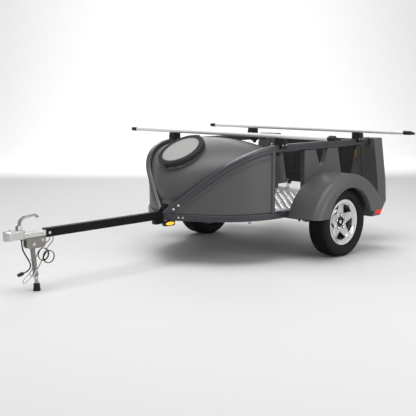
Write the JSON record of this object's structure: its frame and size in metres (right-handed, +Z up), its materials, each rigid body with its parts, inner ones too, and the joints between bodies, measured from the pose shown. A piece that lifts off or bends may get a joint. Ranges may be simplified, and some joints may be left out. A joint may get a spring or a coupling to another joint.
{
  "type": "kayak trailer",
  "caption": "Light road trailer with curved rails, a moulded nose box with a round hatch, pod fenders, tail posts and two load bars on clamping towers.",
  "frame": {"origin": "centre of the bounding box on the ground", "axes": "+X to the trailer's left, +Y to its tail, away from the coupler, +Z up; positions in metres"},
  "size_m": [2.202, 3.3, 0.976],
  "materials": {
    "frame_paint": "satin",
    "rail_paint": "satin",
    "body_plastic": "matte",
    "black_plastic": "matte",
    "hatch_plastic": "satin",
    "deck_plate": "checker plate",
    "bar_aluminium": "satin",
    "cast": "cast, bright",
    "stand_paint": "satin",
    "zinc": "zinc plated",
    "latch_brass": "passivated",
    "tyre_rubber": "matte",
    "wheel_alloy": "polished",
    "hub_steel": "bright",
    "red_lens": "clear lens",
    "amber_lens": "clear lens",
    "cord_rubber": "matte"
  },
  "bodies": {
    "chassis": {"apex_bracket": "frame_paint", "axle_beam": "frame_paint", "bar_caps_front": "black_plastic", "bar_caps_rear": "black_plastic", "cable_anchors": "zinc", "cable_coil_left": "cord_rubber", "cable_coil_right": "cord_rubber", "cable_hooks": "zinc", "coupler": "cast", "coupler_handle": "cast", "crossmembers": "frame_paint", "deck": "deck_plate", "fender_left": "body_plastic", "fender_right": "body_plastic", "gate_hinges": "zinc", "gate_latches": "latch_brass", "harness_cord": "cord_rubber", "harness_gland": "black_plastic", "harness_plug": "black_plastic", "hatch_collar": "black_plastic", "load_bar_front": "bar_aluminium", "load_bar_rear": "bar_aluminium", "lower_rail_left": "frame_paint", "lower_rail_right": "frame_paint", "marker_housings": "black_plastic", "marker_lenses": "amber_lens", "nose_bulkhead": "body_plastic", "nose_cover": "body_plastic", "nose_floor": "body_plastic", "nose_side_left": "body_plastic", "nose_side_right": "body_plastic", "rail_caps": "black_plastic", "safety_cable_left": "cord_rubber", "safety_cable_right": "cord_rubber", "stand_channel": "stand_paint", "tail_lamp_left": "red_lens", "tail_lamp_right": "red_lens", "tail_post_left": "body_plastic", "tail_post_right": "body_plastic", "tongue": "frame_paint", "torsion_arm_left": "zinc", "torsion_arm_right": "zinc", "towers_front": "black_plastic", "towers_rear": "black_plastic", "upper_rail_left": "rail_paint", "upper_rail_right": "rail_paint"},
    "wheel_left": {"tyre_left": "tyre_rubber", "rim_left": "wheel_alloy", "hub_left": "hub_steel"},
    "wheel_right": {"tyre_right": "tyre_rubber", "rim_right": "wheel_alloy", "hub_right": "hub_steel"},
    "hatch_lid": {"hatch_rim": "black_plastic", "hatch_panel": "hatch_plastic"},
    "tailgate": {"tailgate": "black_plastic"},
    "stand": {"stand_leg": "stand_paint"},
    "stand_foot": {"stand_tube": "zinc", "stand_foot": "black_plastic"}
  },
  "joints": [
    {"name": "wheel_left_spin", "type": "hinge", "parent": "chassis", "child": "wheel_left", "pos_m": [0.735, 0.89, 0.272], "axis": [1, 0, 0], "continuous": true},
    {"name": "wheel_right_spin", "type": "hinge", "parent": "chassis", "child": "wheel_right", "pos_m": [-0.735, 0.89, 0.272], "axis": [1, 0, 0], "continuous": true},
    {"name": "hatch_hinge", "type": "hinge", "parent": "chassis", "child": "hatch_lid", "pos_m": [0, 0.07054, 0.95482], "axis": [-1, 0, 0], "range_deg": [0, 110]},
    {"name": "tailgate_hinge", "type": "hinge", "parent": "chassis", "child": "tailgate", "pos_m": [0, 1.59, 0.44], "axis": [-1, 0, 0], "range_deg": [0, 90]},
    {"name": "stand_swing", "type": "hinge", "parent": "chassis", "child": "stand", "pos_m": [0, -1.443, 0.317], "axis": [1, 0, 0], "range_deg": [0, 80]},
    {"name": "stand_slide", "type": "slide", "parent": "stand", "child": "stand_foot", "axis": [0, -0.0993, 0.9951], "range_m": [0, 0.04]}
  ]
}
